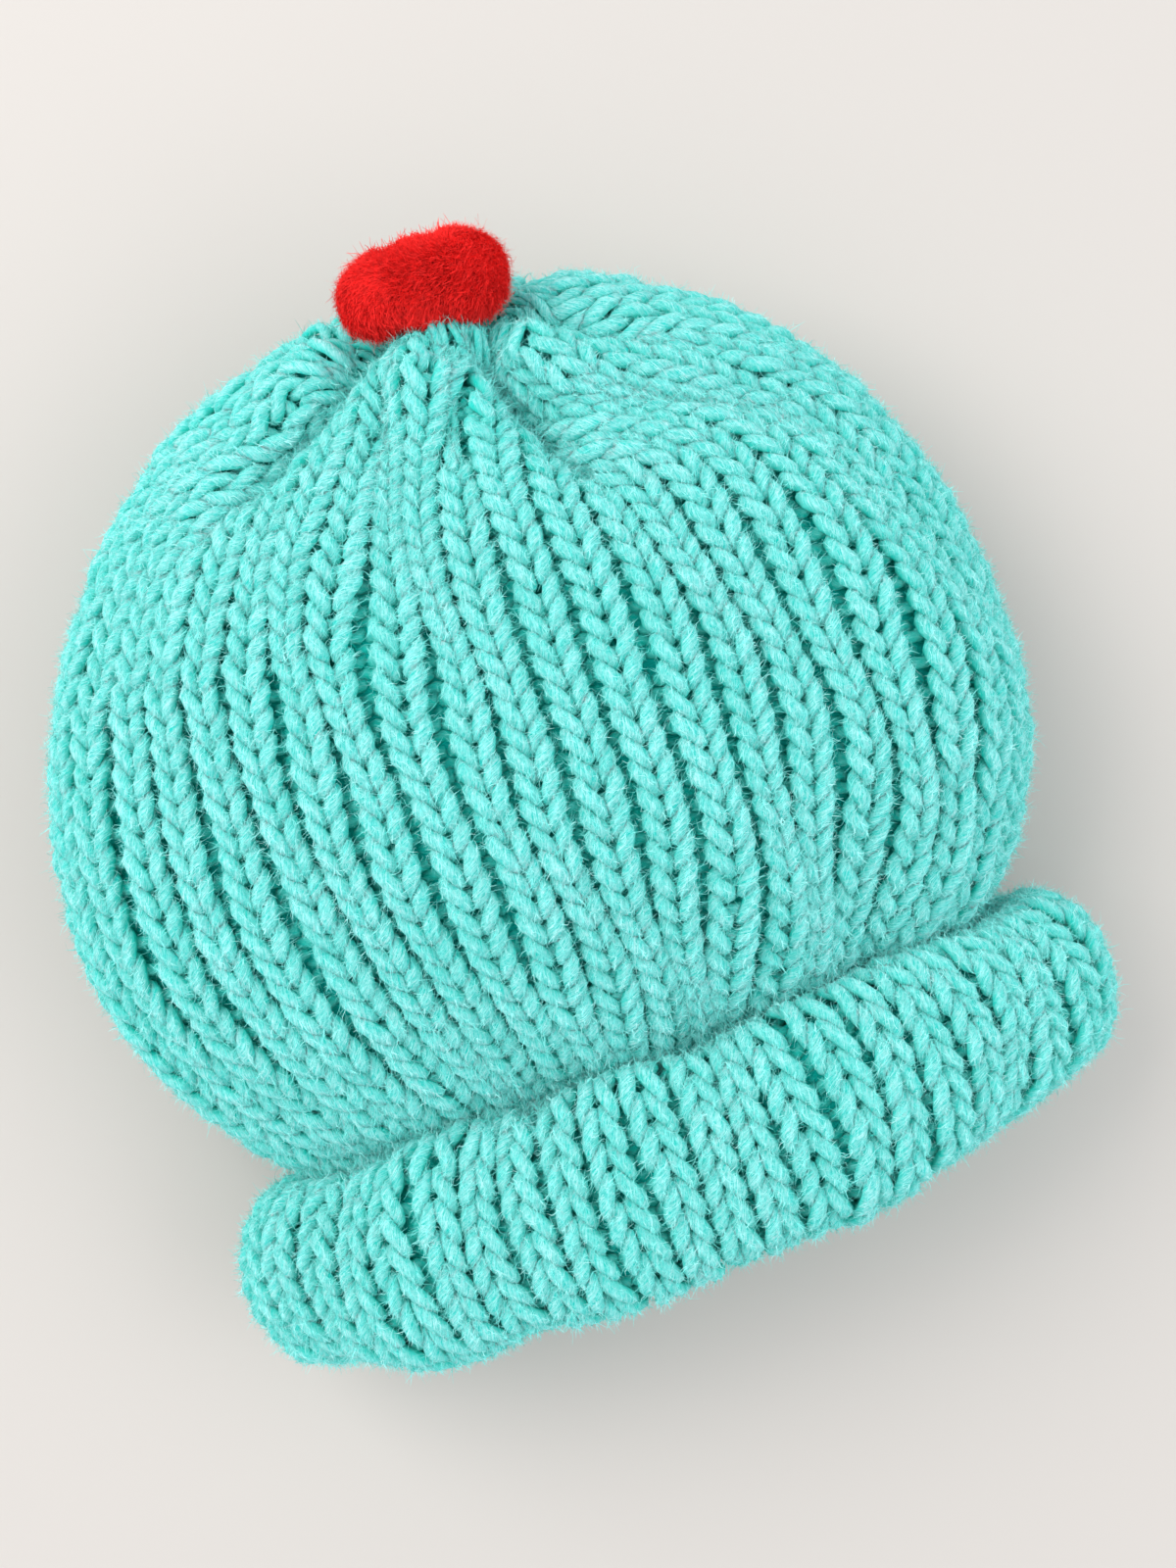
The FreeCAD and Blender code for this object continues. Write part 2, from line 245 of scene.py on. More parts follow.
# Rings lie closer together near the gather, where the folds are.
rings = [upper_ring(r) for r in np.linspace(0.04, 1, 110) ** 1.15]
rings += [lower_ring(a) for a in np.radians(np.linspace(3, 42, 16))]
EDGE = len(rings) + int(np.argmin(ROLL_PATH[:, 2]))  # the ring at the brim's lower edge
for half_w, half_h, y in ROLL_PATH:
    ring = section(half_w, half_h, y, NECK_Z, ROLL_SHIFT * smooth(half_w, neck_w, ply_w - 9))
    rings.append(ring)


def by_length(ring):
    """Points spread evenly along a ring, half as many, from the middle of the underside."""
    closed = np.vstack([ring, ring[:1]])
    steps = np.linalg.norm(np.diff(closed, axis=0), axis=1)
    # Half of the ribs lie on each side of the middle of the front.
    halves = steps.reshape(2, -1)
    length = np.concatenate([[0], np.cumsum(halves / halves.sum(1, keepdims=True))])
    at = np.linspace(0, 2, AROUND // 2 + 1)[:-1]
    return np.stack([np.interp(at, length, closed[:, i]) for i in range(3)], -1)


def soften(values, spread):
    """Smooths round the hat, which closes on itself."""
    count = values.shape[-1]
    rate = np.fft.rfftfreq(count)
    low_pass = np.exp(-0.5 * (2 * math.pi * rate * spread) ** 2)
    return np.fft.irfft(np.fft.rfft(values, axis=-1) * low_pass, count, axis=-1)


def press_on_floor(points):
    """The floor presses the underside flat."""
    over = points[..., 2] - FLOOR_CLEARANCE
    points[..., 2] = FLOOR_CLEARANCE + 0.5 * (over + np.sqrt(over**2 + FLOOR_ROUNDING**2))


surface = np.array([by_length(r) for r in rings])
# The brim lies a little askew, and its lower edge rises towards its slimmer ends.
BRIM_SLOPE = 0.054
BRIM_SLIMMING = 0.22
BRIM_FROM, BRIM_FULLY = 41, 59  # how far towards the opening the brim begins
in_roll = smooth(-surface[..., 1], BRIM_FROM, BRIM_FULLY)
surface[..., 1] += in_roll * BRIM_SLOPE * surface[..., 0]
narrowing = BRIM_SLIMMING * smooth(np.abs(surface[..., 0]) / ROLL_HALF_W, 0.35, 1.0)
brim_top = ROLL_Y + ROLL_LEN + BRIM_SLOPE * surface[..., 0]
near_roll = smooth(np.arange(len(surface)), EDGE - 40, EDGE - 10)[:, None]
surface[..., 1] += in_roll * near_roll * (brim_top - surface[..., 1]) * narrowing
press_on_floor(surface)

# Courses are laid out by length, from the gather to the brim's lower edge and on from there.
steps = np.linalg.norm(np.diff(surface, axis=0), axis=-1)
run = np.vstack([np.zeros(surface.shape[1]), np.cumsum(soften(steps, 60), axis=0)])
CROWN_COURSES = int(round(run[EDGE].mean() / COURSE))
BRIM_COURSES = int(round((run[-1] - run[EDGE]).mean() / COURSE))
COURSES = CROWN_COURSES + BRIM_COURSES
course_at = np.where(
    np.arange(len(surface))[:, None] <= EDGE,
    CROWN_COURSES * run / run[EDGE],
    CROWN_COURSES + BRIM_COURSES * (run - run[EDGE]) / (run[-1] - run[EDGE]),
)
PER_COURSE, PER_RIB = 8, AROUND // 2 // RIBS
grid_v = np.linspace(0, COURSES, COURSES * PER_COURSE + 1)
guide = np.stack(
    [
        np.stack(
            [np.interp(grid_v, course_at[:, k], surface[:, k, i]) for i in range(3)], -1
        )
        for k in range(surface.shape[1])
    ],
    1,
)


def waves(count, top, seed):
    """A smooth random field round the hat and along it, about 1 high."""
    r = np.random.default_rng(seed)
    v, u = np.meshgrid(grid_v / COURSES, np.arange(guide.shape[1]) / guide.shape[1], indexing="ij")
    total = np.zeros_like(v)
    for _ in range(count):
        turns, beats = r.integers(1, top), r.uniform(0.5, top / 3)
        total += np.sin(2 * math.pi * (turns * u + beats * v + r.uniform()))
    return total / math.sqrt(count / 2)


def wrap_diff(values):
    """Differences round the hat, which closes on itself."""
    return (np.roll(values, -1, 1) - np.roll(values, 1, 1)) / 2


def across_surface(points):
    """The directions square to a surface, all to one side of it."""
    return unit(np.cross(wrap_diff(points), np.gradient(points, axis=0)))


on_top = across_surface(guide)[grid_v.size // 3, guide.shape[1] // 2, 2]
sign = 1 if on_top > 0 else -1  # makes those directions point out of the hat
UNEVENNESS = 0.8  # of the whole fabric, each way
RIB_DRIFT = 0.1  # how far ribs wander, in ribs
calm = smooth(grid_v, 3, 10)[:, None]  # the first courses are drawn in and lie still
guide += across_surface(guide) * sign * (UNEVENNESS * waves(14, 12, 3) * calm)[..., None]
press_on_floor(guide)
normals = across_surface(guide) * sign
pitch = np.linalg.norm(wrap_diff(guide), axis=-1) * PER_RIB  # the width of a rib
drift = RIB_DRIFT * waves(16, 20, 5) * calm


def look_up(grid, u, v):
    """A grid's values at ribs u and courses v."""
    x = np.mod(u * PER_RIB, grid.shape[1])
    y = np.clip(v * PER_COURSE, 0, grid.shape[0] - 1.001)
    x0, y0 = x.astype(int) % grid.shape[1], y.astype(int)
    x1, y1 = (x0 + 1) % grid.shape[1], y0 + 1
    fx, fy = x - np.floor(x), y - y0
    if grid.ndim == 3:
        fx, fy = fx[..., None], fy[..., None]
    top = grid[y0, x0] * (1 - fx) + grid[y0, x1] * fx
    return top * (1 - fy) + (grid[y1, x0] * (1 - fx) + grid[y1, x1] * fx) * fy


# ---------------------------------------------------------------- stitches
STEPS = 16  # points of a stitch's yarn
LOOP_HEIGHT = 0.82  # of a loop, each way, in courses
ROLL_OF_RIBS = 0.45  # how far one side of a rib may roll up, and the other down
# A knit and a purl stitch: how far its legs lean, their skew, and how far they spread round its
# hole, all in widths of the stitch.
KNIT_LEGS = (0.27, -0.05, 0.095)
PURL_LEGS = (0.26, 0.03, 0.06)

course = np.arange(COURSES) + 0.5
wale = np.arange(2 * RIBS)
rib = wale // 2
is_knit = (wale % 2 == 0)[None, :]
# The course and the rib of every stitch.
stitch_row, stitch_rib = np.meshgrid(course, rib.astype(float), indexing="ij")
local_pitch = look_up(pitch, stitch_rib, stitch_row)
# The wales that show are mostly the wider ones: knit on the crown, purl on the turned-up brim.
turned = smooth(stitch_row, CROWN_COURSES - 2, CROWN_COURSES + 1)
shown_share = np.clip((KNIT_W + 0.4 * turned) / local_pitch, 0.3, 0.72)
knit_share = shown_share * (1 - turned) + (1 - shown_share) * turned
knit_share = 0.5 * (knit_share[:, 0::2] + knit_share[:, 1::2])
next_share = np.roll(knit_share, -1, 1)
start = np.empty_like(stitch_row)
end = np.empty_like(stitch_row)
ribs = np.arange(RIBS)[None, :]
start[:, 0::2], end[:, 0::2] = ribs - knit_share / 2, ribs + knit_share / 2
start[:, 1::2], end[:, 1::2] = ribs + knit_share / 2, ribs + 1 - next_share / 2

t = (np.arange(STEPS) / STEPS * 2 * math.pi)[None, None, :]
uneven = rng.normal(1, 0.08, stitch_row.shape)[..., None]
lean, skew, spread = (
    np.where(is_knit, knit, purl)[..., None] for knit, purl in zip(KNIT_LEGS, PURL_LEGS)
)
width = (end - start)[..., None]
swing = (lean * uneven + skew * np.sin(t)) * np.sin(2 * t) - spread * np.sin(t)
u = start[..., None] + width * (t / (2 * math.pi) + swing)
loop_height = LOOP_HEIGHT + rng.normal(0, 0.05, stitch_row.shape)[..., None]
v = stitch_row[..., None] + loop_height * np.cos(t)
# A loop passes through the middle of the fabric at its ends, where it meets the next wale.
fade = smooth(t, 0, math.pi / 4) * smooth(2 * math.pi - t, 0, math.pi / 4)
face = np.where(is_knit, 1, -1)[..., None]
tight = np.clip(local_pitch / KNIT_W, 0.5, 1.0)[..., None]  # yarns are squeezed at the gather
rise = RIB_RISE * rng.normal(1, 0.12, stitch_row.shape)[..., None]
rise = rise * (0.5 + 0.5 * smooth(stitch_row, 0, 3))[..., None]  # flatter near the gather
# Ribs roll a little to one side or the other along their way.
roll = look_up(waves(18, 22, 9), stitch_rib, stitch_row)[..., None]
rolled = ROLL_OF_RIBS * roll * (t / math.pi - 1)
z = face * fade * (rise - DEPTH * np.cos(2 * t) * tight + rolled)
radius = YARN_R * tight * (1 - 0.15 * np.cos(2 * t))
radius = radius * rng.normal(1, 0.03, stitch_row.shape)[..., None]
shape = (COURSES, 2 * RIBS * STEPS)
u, v, z, radius = (np.broadcast_to(a, u.shape).reshape(shape) for a in (u, v, z, radius))
u = u + look_up(drift, u, v)
yarn_normal = unit(look_up(normals, u, v))
yarn = look_up(guide, u, v) + yarn_normal * z[..., None]
gap = np.linalg.norm(yarn - np.roll(yarn, 1, 1), axis=-1)
travel = np.cumsum(gap, axis=1)
print("courses", CROWN_COURSES, BRIM_COURSES, "yarn m", travel[:, -1].sum() / 1000)

# ---------------------------------------------------------------- mesh building
SIDES = 7
# Heights that the painted shade in the colours goes by: at the tops of the stitches, and for what
# isn't a stitch, which so takes part of the painted shade all over.
TOP_HEIGHT = 4.3
PLAIN_HEIGHT = 1.5


def skin_tubes(centres, reference, radii, sides=SIDES, squash=0.9):
    """Rings of points round yarns, for arrays of yarns of the same number of points."""
    along = unit(np.gradient(centres, axis=-2))
    side = unit(np.cross(along, reference))
    up = np.cross(side, along)
    angle = np.arange(sides) * 2 * math.pi / sides
    circle = (
        np.cos(angle)[:, None] * side[..., None, :]
        + squash * np.sin(angle)[:, None] * up[..., None, :]
    )
    return centres[..., None, :] + radii[..., None, None] * circle


def tube_mesh(name, rings, travelled, height=None):
    """A mesh of tubes from rings shaped (yarns, points, sides, 3), with a yarn UV map."""
    yarns, points, sides, _ = rings.shape
    index = np.arange(yarns * points * sides).reshape(yarns, points, sides)
    following = np.roll(index, -1, 2)
    quads = np.stack(
        [index[:, :-1], index[:, 1:], following[:, 1:], following[:, :-1]], -1
    ).reshape(-1, 4)
    lengths = np.broadcast_to(travelled[:, :, None], index.shape)
    turn = np.broadcast_to(np.arange(sides) / sides, index.shape)
    us = np.stack([lengths[:, :-1], lengths[:, 1:], lengths[:, 1:], lengths[:, :-1]], -1)
    vs = np.stack([turn[:, 1:], turn[:, 1:], turn[:, 1:] + 1 / sides, turn[:, 1:] + 1 / sides], -1)
    uv = np.stack([us, vs], -1).reshape(-1, 2)
    # A second map lays the yarns out side by side, for baking.
    strip = (np.arange(yarns)[:, None] + (np.arange(sides) / sides)[None, :]) / yarns
    strip = np.broadcast_to(strip[:, None, :], (yarns, points - 1, sides))
    place = np.broadcast_to(
        (np.arange(points - 1) / (points - 1))[None, :, None], (yarns, points - 1, sides)
    )
    wide, tall = 1 / (points - 1), 0.98 / (yarns * sides)  # with a small gap above each
    corners = ((0, 0), (wide, 0), (wide, tall), (0, tall))
    flat = np.stack([np.stack([place + dx, strip + dy], -1) for dx, dy in corners], -2)
    mesh = make_mesh(name, rings.reshape(-1, 3), quads, uv, flat.reshape(-1, 2))
    set_height(mesh, np.full(index.size, PLAIN_HEIGHT) if height is None else height)
    return mesh


def set_height(mesh, height):
    """How far each point stands up in the fabric, for the painted shade in its colour."""
    layer = mesh.attributes.new("height", "FLOAT", "POINT")
    layer.data.foreach_set("value", height.astype(np.float32).ravel())


def make_mesh(name, points, quads, uv=None, flat_uv=None):
    """A smooth-shaded mesh from points in millimetres, with its maps for yarn and for baking."""
    mesh = bpy.data.meshes.new(name)
    mesh.vertices.add(len(points))
    mesh.vertices.foreach_set("co", (points * MM).astype(np.float32).ravel())
    mesh.loops.add(quads.size)
    mesh.loops.foreach_set("vertex_index", quads.astype(np.int32).ravel())
    mesh.polygons.add(len(quads))
    mesh.polygons.foreach_set("loop_start", np.arange(0, quads.size, quads.shape[1], dtype=np.int32))
    mesh.update(calc_edges=True)
    mesh.validate()
    for layer_name, values in (("Yarn", uv), ("OFBake", flat_uv)):
        if values is not None:
            layer = mesh.uv_layers.new(name=layer_name)
            layer.data.foreach_set("uv", values.astype(np.float32).ravel())
    mesh.shade_smooth()
    return mesh


def piece(mesh, material, body, slot, *nodes):
    """An object of a mesh that rides a body and stands for CAD nodes."""
    obj = bpy.data.objects.new(mesh.name, mesh)
    bpy.context.scene.collection.objects.link(obj)
    mesh.materials.append(material)
    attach(obj, body)
    if nodes:
        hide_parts(*nodes)
    return obj


# ---------------------------------------------------------------- materials
def new_material(name):
    mat = bpy.data.materials.new(name)
    mat.use_nodes = True
    tree = mat.node_tree
    return mat, tree, tree.nodes["Principled BSDF"]


def add_node(tree, kind, **values):
    """A node with those inputs or settings."""
    node = tree.nodes.new(kind)
    for key, value in values.items():
        if key in node.inputs:
            node.inputs[key].default_value = value
        else:
            setattr(node, key, value)
    return node


def set_inputs(node, values):
    """Sets a node's inputs by their names."""
    for name, value in values.items():
        node.inputs[name].default_value = value


def math_node(tree, operation, a, b=None):
    """The result of an operation on numbers or sockets."""
    node = tree.nodes.new("ShaderNodeMath")
    node.operation = operation
    for i, value in enumerate(v for v in (a, b) if v is not None):
        if isinstance(value, (int, float)):
            node.inputs[i].default_value = value
        else:
            tree.links.new(value, node.inputs[i])
    return node.outputs[0]


def mix_colour(tree, factor, a, b):
    """Colour a, going over to b with the factor."""
    node = tree.nodes.new("ShaderNodeMix")
    node.data_type = "RGBA"
    # For colours, this node's sockets are the factor, 0, the colours, 6 and 7, and the result, 2.
    for socket, value in ((node.inputs[0], factor), (node.inputs[6], a), (node.inputs[7], b)):
        if isinstance(value, (tuple, float, int)):
            socket.default_value = value
        else:
            tree.links.new(value, socket)
    return node.outputs[2]


def map_range(tree, value, low, high):
    """A value from 0 at low to 1 at high."""
    node = add_node(tree, "ShaderNodeMapRange")
    set_inputs(node, {"From Min": low, "From Max": high})
    tree.links.new(value, node.inputs["Value"])
    return node.outputs["Result"]


def height_share(tree):
    """How far up a point is, from 0 deep in the fabric to 1 at the tops of the stitches; colours go
    darker as it falls, as painted shade.
    """
    height = add_node(tree, "ShaderNodeAttribute", attribute_name="height")
    return map_range(tree, height.outputs["Fac"], -0.8, TOP_HEIGHT)


def yarn_material(name, deep, middle, pale, plies=3, lay=8.0):
    """Soft plied yarn with pale fibre streaks along it; darker and without the streaks deep in the
    fabric, as painted shade.
    """
    mat, tree, bsdf = new_material(name)
    uv = add_node(tree, "ShaderNodeUVMap", uv_map="Yarn")
    parts = tree.nodes.new("ShaderNodeSeparateXYZ")
    tree.links.new(uv.outputs[0], parts.inputs[0])
    along, turn = parts.outputs[0], parts.outputs[1]
    lag = math_node(tree, "ADD", turn, math_node(tree, "DIVIDE", along, lay))
    wave = math_node(tree, "COSINE", math_node(tree, "MULTIPLY", lag, 2 * math.pi * plies))
    ply = math_node(tree, "ADD", math_node(tree, "MULTIPLY", wave, 0.5), 0.5)
    # Fibres follow the plies: stretched noise over the untwisted yarn.
    place = tree.nodes.new("ShaderNodeCombineXYZ")
    tree.links.new(math_node(tree, "MULTIPLY", along, 0.22), place.inputs[0])
    tree.links.new(math_node(tree, "MULTIPLY", lag, 13.0), place.inputs[1])
    streak = add_node(
        tree, "ShaderNodeTexNoise", Scale=1.9, Detail=5.0, Roughness=0.72, Distortion=0.7
    )
    tree.links.new(place.outputs[0], streak.inputs["Vector"])
    ramp = tree.nodes.new("ShaderNodeValToRGB")
    ramp.color_ramp.elements[0].position, ramp.color_ramp.elements[1].position = 0.43, 0.63
    tree.links.new(streak.outputs["Fac"], ramp.inputs[0])
    # Loose fluff lies over the plies without any direction.
    fluff = add_node(tree, "ShaderNodeTexNoise", Scale=1300.0, Detail=4.0, Roughness=0.7)
    where = tree.nodes.new("ShaderNodeTexCoord")
    tree.links.new(where.outputs["Object"], fluff.inputs["Vector"])
    # Painted shade: the colour darkens from the middle colour at the tops of the stitches to the deep
    # colour low in the fabric, and the pale streaks fade out down there.
    raised = height_share(tree)
    body = mix_colour(tree, raised, (*deep, 1), (*middle, 1))
    body = mix_colour(tree, math_node(tree, "MULTIPLY", ply, 0.10), body, (*pale, 1))
    haze = math_node(
        tree, "ADD", math_node(tree, "MULTIPLY", ramp.outputs[0], 0.68),
        math_node(tree, "MULTIPLY", map_range(tree, fluff.outputs["Fac"], 0.42, 0.62), 0.32),
    )
    colour = mix_colour(tree, math_node(tree, "MULTIPLY", haze, raised), body, (*pale, 1))
    tree.links.new(colour, bsdf.inputs["Base Color"])
    relief = math_node(
        tree, "ADD", math_node(tree, "MULTIPLY", ply, 0.5),
        math_node(
            tree, "ADD", math_node(tree, "MULTIPLY", streak.outputs["Fac"], 1.7), fluff.outputs["Fac"]
        ),
    )
    bump = add_node(tree, "ShaderNodeBump", Strength=0.6, Distance=0.0004)
    tree.links.new(relief, bump.inputs["Height"])
    tree.links.new(bump.outputs[0], bsdf.inputs["Normal"])
    soft_wool = {
        "Roughness": 0.9,
        "Specular IOR Level": 0.06,
        "Subsurface Weight": 0.7,
        "Subsurface Radius": (0.35, 1.0, 0.95),
        "Subsurface Scale": 0.002,
        "Sheen Weight": 0.1,
        "Sheen Roughness": 0.5,
        "Sheen Tint": (*pale, 1),
    }
    set_inputs(bsdf, soft_wool)
    return mat


def fibre_material(name, deep, colour, dark=0.78, scale=900.0):
    """Loose fibres in randomly darker tones, which take the deep colour as painted shade at the
    bottom of the fabric.
    """
    mat, tree, bsdf = new_material(name)
    noise = add_node(tree, "ShaderNodeTexNoise", Scale=scale, Detail=1.0)
    where = tree.nodes.new("ShaderNodeTexCoord")
    tree.links.new(where.outputs["Object"], noise.inputs["Vector"])
    darker = tuple(dark * c for c in colour)
    spread = map_range(tree, noise.outputs["Fac"], 0.35, 0.6)
    shade = mix_colour(tree, spread, (*darker, 1), (*colour, 1))
    # Painted shade: low in the fabric the fibres go over to the deep colour.
    shade = mix_colour(tree, height_share(tree), (*deep, 1), shade)
    tree.links.new(shade, bsdf.inputs["Base Color"])
    set_inputs(bsdf, {"Roughness": 0.8, "Specular IOR Level": 0.08})
    return mat


# The first colour of each yarn and fibre material below is painted shade, taken deep in the fabric
# and, in part, by the cords, the web and the pompom's core.
aqua_painted_shade = (0.0, 0.66, 0.56)
aqua = yarn_material("aqua_yarn", aqua_painted_shade, (0.008, 0.58, 0.53), (0.57, 0.93, 0.93))
aqua_lying = fibre_material("aqua_fibre", aqua_painted_shade, (0.50, 0.97, 0.95))
aqua_fuzz = fibre_material("aqua_fuzz", aqua_painted_shade, (0.28, 0.92, 0.88))
aqua_web = yarn_material("aqua_web", (0.0, 0.62, 0.53), (0.0, 0.70, 0.61), (0.05, 0.80, 0.73))
red_yarn = yarn_material(
    "red_yarn", (0.25, 0.0, 0.002), (0.55, 0.006, 0.008), (0.75, 0.05, 0.05), 2, 3.0
)
red_pile = fibre_material("red_pile", (0.5, 0.008, 0.01), (1.0, 0.033, 0.03), 0.76, 1100.0)


# ---------------------------------------------------------------- knitted pieces
RIBBON_TAPER = np.array([1.0, 0.85, 0.3])  # a fibre's width at its root, middle and tip
FLOOR_GAP = 0.1  # no fibre goes lower


def fibres(name, roots, out, along, size, lift, stray, seed, height, material, body, slot):
    """Fine loose fibres: narrow ribbons that leave the yarn and face outwards."""
    r = np.random.default_rng(seed)
    count = len(roots)
    length, thick = size
    step = length / 2 * r.uniform(0.45, 1.0, (count, 1))
    way = unit(along * r.choice([-1, 1], (count, 1)) + lift * out + r.normal(0, stray, (count, 3)))
    points, turn = [roots], way
    for _ in range(2):
        points.append(points[-1] + step * turn)
        turn = unit(turn + r.normal(0, 1.7 * stray, (count, 3)) + 0.1 * lift * out)
    points = np.stack(points, 1)
    points[..., 2] = np.maximum(points[..., 2], FLOOR_GAP)
    tangent = unit(np.gradient(points, axis=1))
    wide = unit(np.cross(tangent, out[:, None, :] + r.normal(0, 0.15, (count, 1, 3))))
    half = thick / 2 * RIBBON_TAPER[None, :, None]
    both = np.stack([points - wide * half, points + wide * half], 2)
    index = np.arange(count * 6).reshape(count, 3, 2)
    quads = np.stack(
        [index[:, :-1, 0], index[:, :-1, 1], index[:, 1:, 1], index[:, 1:, 0]], -1
    ).reshape(-1, 4)
    # Each fibre has a tile of its own in the map for baking.
    tiles = math.ceil(math.sqrt(count))
    tile = np.stack([np.arange(count) % tiles, np.arange(count) // tiles], -1)[:, None, None]
    ends = ((0.1, 0.5), (0.5, 0.9))
    flat = (tile + np.array([[(0.1, y), (0.9, y), (0.9, z), (0.1, z)] for y, z in ends])) / tiles
    mesh = make_mesh(name, both.reshape(-1, 3), quads, None, flat.reshape(-1, 2))
    set_height(mesh, np.broadcast_to(height[:, None], (count, 6)))
    return piece(mesh, material, body, slot)


def knit_piece(name, first_course, last_course, first_rib, last_rib, fuzz, *nodes):
    """The stitches of some courses and ribs, with that many fibres in each layer of fuzz."""
    low, high = first_rib * 2 * STEPS - 1, last_rib * 2 * STEPS + 2
    pick = np.arange(low, high) % yarn.shape[1]
    rows = slice(first_course, last_course)
    centres, up = yarn[rows][:, pick], yarn_normal[rows][:, pick]
    tubes = skin_tubes(centres, up, radius[rows][:, pick])
    # How far each point stands out of the fabric on the side it faces; the colour darkens as painted
    # shade where this is low, on the yarns' undersides and deep between them.
    outward_part = ((tubes - centres[:, :, None]) * up[:, :, None]).sum(-1)
    facing = np.clip(1.6 * outward_part / YARN_R, -1, 1)
    height = facing * (z[rows][:, pick][..., None] + outward_part)
    mesh = tube_mesh(name, tubes, travel[rows][:, pick], height)
    piece(mesh, aqua, "hat", "aqua_knit", *nodes)
    # Fuzz grows mostly on the side that shows, and most on top of the stitches.
    shows = np.where(course[rows] > INNER_SIDE_FROM, -1, 1)[:, None, None]
    chance = 0.06 + np.clip(facing * shows, 0, 1) * (0.1 + np.clip(height - 0.6, 0, 3))
    chance = (chance / chance.sum()).ravel()
    for layer, count in enumerate(fuzz):
        r = np.random.default_rng(first_course * 100 + first_rib + 7 * layer)
        chosen = r.choice(chance.size, count, p=chance)
        row, at, around = np.unravel_index(chosen, height.shape)
        at = np.clip(at, 1, tubes.shape[1] - 2)
        root = tubes[row, at, around]
        out = unit(root - centres[row, at])
        along = unit(centres[row, at + 1] - centres[row, at - 1])
        spun = unit(along + 0.5 * np.cross(along, out))
        root = root + along * r.normal(0, 0.3, (count, 1)) - 0.08 * out
        size, lift, stray, material = FUZZ[layer]
        # Each fibre takes the height of its root, so those rooted low carry the painted shade.
        fibres(
            f"{name}_fuzz_{layer}", root, out, spun, size, lift, stray,
            11 + layer, height[row, at, around], material, "hat", "aqua_yarn",
        )


# From this course on, the fabric's inner side shows: in the mouth, then outside on the brim.
INNER_SIDE_FROM = CROWN_COURSES - 5
# Layers of fuzz: length and thickness of a fibre, lift off the yarn, stray, material.
FUZZ = (
    ((2.1, 0.11), 0.2, 0.45, aqua_lying),
    ((3.6, 0.085), 0.34, 0.4, aqua_fuzz),
    ((2.6, 0.075), 0.5, 0.6, aqua_fuzz),
)
# How many fibres each layer has on a piece.
FRONT_FUZZ = (48000, 34000, 32000)
BACK_FUZZ = (20000, 20000, 16000)
NECK_FUZZ = (18000, 9000)
BRIM_FUZZ = (46000, 30000, 26000)
CROWN_END = CROWN_COURSES - 7
QUARTER, HALF = RIBS // 4, RIBS // 2
for i, fuzz in enumerate((BACK_FUZZ, FRONT_FUZZ, FRONT_FUZZ, BACK_FUZZ)):
    first_rib, last_rib = QUARTER * i, QUARTER * (i + 1)
    knit_piece(f"crown_knit_{i}", 0, CROWN_END, first_rib, last_rib, fuzz, "crown_fabric")
knit_piece("neck_knit", CROWN_END, CROWN_COURSES - 1, 0, RIBS, NECK_FUZZ)
for i in range(2):
    knit_piece(
        f"brim_knit_{i}", CROWN_COURSES - 1, COURSES, HALF * i, HALF * (i + 1), BRIM_FUZZ,
        "brim_outer_ply", "brim_tucked_ply",
    )

# Matted fibre in the middle of the fabric closes the holes between its yarns.
WEB_HALF = 0.2
WEB_DEPTH = 1.0  # under the middle of the fabric, seen from the side that shows
WEB_ROWS, WEB_COLUMNS = slice(4, None, 4), slice(None, None, 4)  # of the guide surface
web_normal = normals[WEB_ROWS, WEB_COLUMNS]
web_turned = smooth(grid_v[WEB_ROWS], INNER_SIDE_FROM - 1, INNER_SIDE_FROM + 1)[:, None, None]
web_middle = guide[WEB_ROWS, WEB_COLUMNS] + (2 * web_turned - 1) * WEB_DEPTH * web_normal
rows, columns = web_middle.shape[:2]
index = np.arange(rows * columns).reshape(rows, columns)
beside = np.roll(index, -1, 1)
face_quads = np.stack([index[:-1], beside[:-1], beside[1:], index[1:]], -1).reshape(-1, 4)
rims = [
    np.stack([edge_row, under, np.roll(under, -1), np.roll(edge_row, -1)], -1)
    for edge_row, under in ((index[0], index[0] + index.size), (index[-1] + index.size, index[-1]))
]
down, across = np.meshgrid(np.arange(rows - 1) / rows, np.arange(columns) / columns, indexing="ij")
corners = ((0, 0), (1 / columns, 0), (1 / columns, 1 / rows), (0, 1 / rows))
flat = np.stack([np.stack([across + dx, down + dy], -1) for dx, dy in corners], -2).reshape(-1, 2)
strands = [10 * RIBS, 2.5 * COURSES]  # fibres of the web run round the hat
rim_map = np.zeros((8 * columns, 2))  # two rims, with four corners for each column
web_mesh = make_mesh(
    "fabric_web",
    np.concatenate([web_middle + side * WEB_HALF * web_normal for side in (1, -1)]).reshape(-1, 3),
    np.concatenate([face_quads, face_quads[:, ::-1] + index.size, *rims]),
    np.concatenate([flat * strands, flat[::-1] * strands, rim_map]),
    np.concatenate([flat * [0.5, 1], flat[::-1] * [0.5, 1] + [0.5, 0], rim_map]),
)
web = piece(web_mesh, aqua_web, "hat", "aqua_yarn")

# ---------------------------------------------------------------- pompom
LIFT = 12.6  # of the pompom's middle above the gather
pompom_centre = GATHER + LIFT * TIE_AXIS
PILE = 2.0  # depth of the cut pile over the core
LOBE_BLEND = 7  # the higher, the sharper the waist between the bunches
LUMPINESS = 0.14
# The two bunches of pile and what joins them: place of the middle and radius, with the tie
# along the third direction.
LOBES = (((-7.8, -0.8, 0.0), 8.7), ((7.4, 0.2, -0.3), 9.3), ((-0.4, -0.2, -0.8), 9.2))
PILE_FRAME = np.array([[1, 0, 0], TIE_SIDE, TIE_AXIS])


